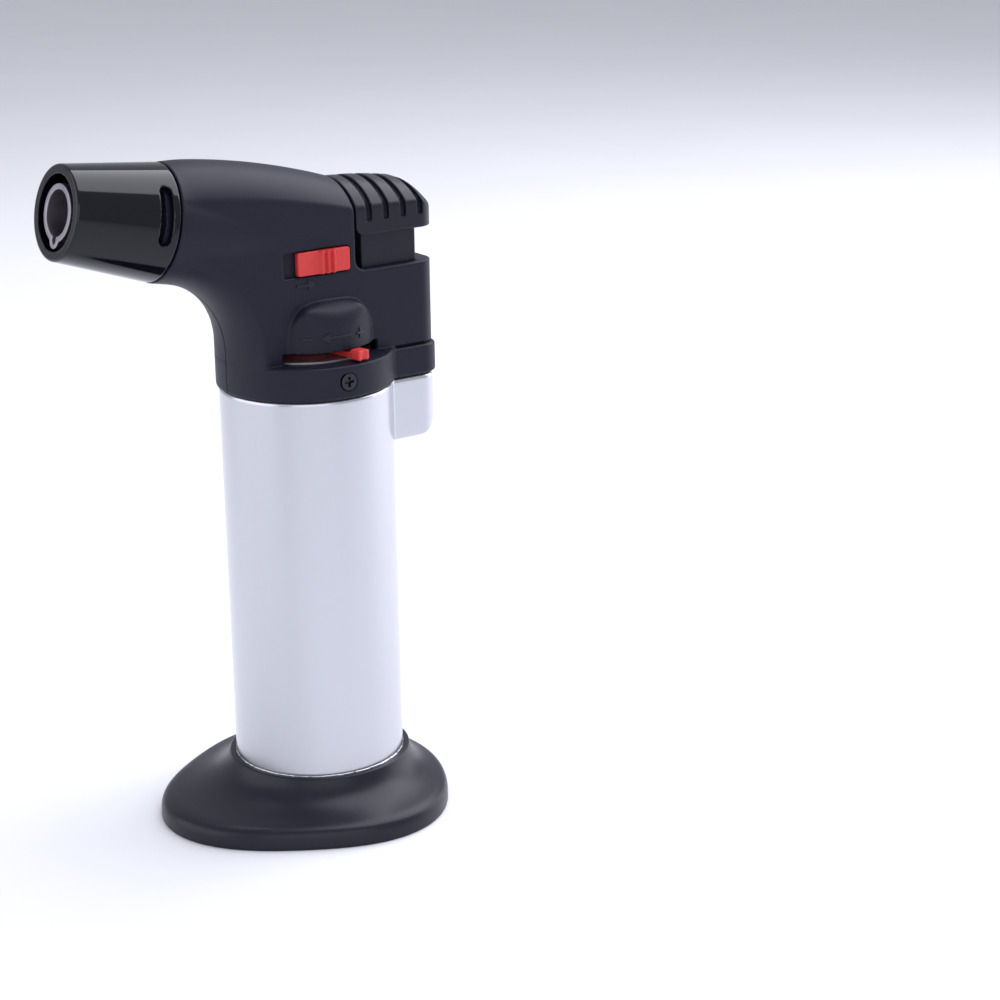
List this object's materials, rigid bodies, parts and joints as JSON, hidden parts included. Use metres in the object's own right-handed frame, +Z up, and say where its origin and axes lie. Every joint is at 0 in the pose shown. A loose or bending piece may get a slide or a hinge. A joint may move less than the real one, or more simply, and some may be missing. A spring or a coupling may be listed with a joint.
{
  "type": "butane torch",
  "caption": "Table-top butane torch: round fuel tank on a wide lobed foot, black split head with a tapered barrel, thumb trigger, lock slider and flame lever.",
  "frame": {"origin": "on the tank's axis at the underside of the foot, where the foot's access hole opens onto the table plane", "axes": "+Z up along the tank, -X the way the flame leaves, +Y to the torch's left as seen from behind it with the flame ahead"},
  "size_m": [0.0916, 0.069, 0.1588],
  "materials": {
    "black_plastic": "fine matte grain",
    "silver_paint": "satin",
    "gloss_black": "high gloss",
    "red_plastic": "satin",
    "brass": "machined",
    "steel": "brushed",
    "spring_steel": "drawn wire",
    "screw_steel": "black oxide",
    "white_ceramic": "glazed",
    "white_plastic": "smooth",
    "rubber": "smooth",
    "hose": "smooth",
    "lead_skin": "smooth"
  },
  "bodies": {
    "torch_body": {"foot": "black_plastic", "fuel_tank": "silver_paint", "tank_lid": "steel", "refill_valve_body": "brass", "refill_spring": "spring_steel", "refill_seal": "rubber", "valve_body": "brass", "valve_spring": "spring_steel", "valve_seal": "rubber", "inlet_filter": "white_plastic", "valve_cover_plate": "steel", "gas_lever_pin": "steel", "gas_hose": "hose", "gas_jet": "brass", "burner_tube": "steel", "flame_holder": "steel", "barrel": "gloss_black", "electrode": "steel", "electrode_insulator": "white_ceramic", "ignition_lead": "lead_skin", "piezo_body": "black_plastic", "piezo_spring": "spring_steel", "right_housing": "black_plastic", "left_housing": "black_plastic", "collar_screws": "screw_steel", "housing_screws": "screw_steel"},
    "trigger_body": {"trigger": "black_plastic", "piezo_plunger": "white_plastic"},
    "gas_lever_body": {"gas_lever": "steel"},
    "valve_stem_body": {"valve_stem": "brass"},
    "lock_slider_body": {"lock_slider": "red_plastic", "lock_retainer": "steel"},
    "flame_lever_body": {"flame_lever": "red_plastic", "adjuster_wheel": "brass"},
    "refill_stem_body": {"refill_stem": "steel"}
  },
  "joints": [
    {"name": "trigger_press", "type": "slide", "parent": "torch_body", "child": "trigger_body", "axis": [0, 0, -1], "range_m": [0, 0.006], "stiffness_N_per_m": 600, "springref_m": -0.004, "deforming": ["piezo_spring"]},
    {"name": "gas_lever_turn", "type": "hinge", "parent": "torch_body", "child": "gas_lever_body", "pos_m": [0.0133, 0, 0.1155], "axis": [0, 1, 0], "range_deg": [0, 5.6]},
    {"name": "valve_lift", "type": "slide", "parent": "torch_body", "child": "valve_stem_body", "axis": [0, 0, 1], "range_m": [0, 0.0013], "deforming": ["valve_spring"]},
    {"name": "lock_slide", "type": "slide", "parent": "torch_body", "child": "lock_slider_body", "axis": [-1, 0, 0], "range_m": [0, 0.0031]},
    {"name": "flame_turn", "type": "hinge", "parent": "torch_body", "child": "flame_lever_body", "pos_m": [0, 0, 0.1116], "axis": [0, 0, 1], "range_deg": [-36, 9]},
    {"name": "refill_push", "type": "slide", "parent": "torch_body", "child": "refill_stem_body", "axis": [0, 0, 1], "range_m": [0, 0.0015], "stiffness_N_per_m": 300, "springref_m": -0.002, "deforming": ["refill_spring"]}
  ],
  "couplings": [
    {"joint": "gas_lever_turn", "follows": "trigger_press", "rad_per_m": 15.941},
    {"joint": "valve_lift", "follows": "trigger_press", "ratio": 0.2083}
  ]
}
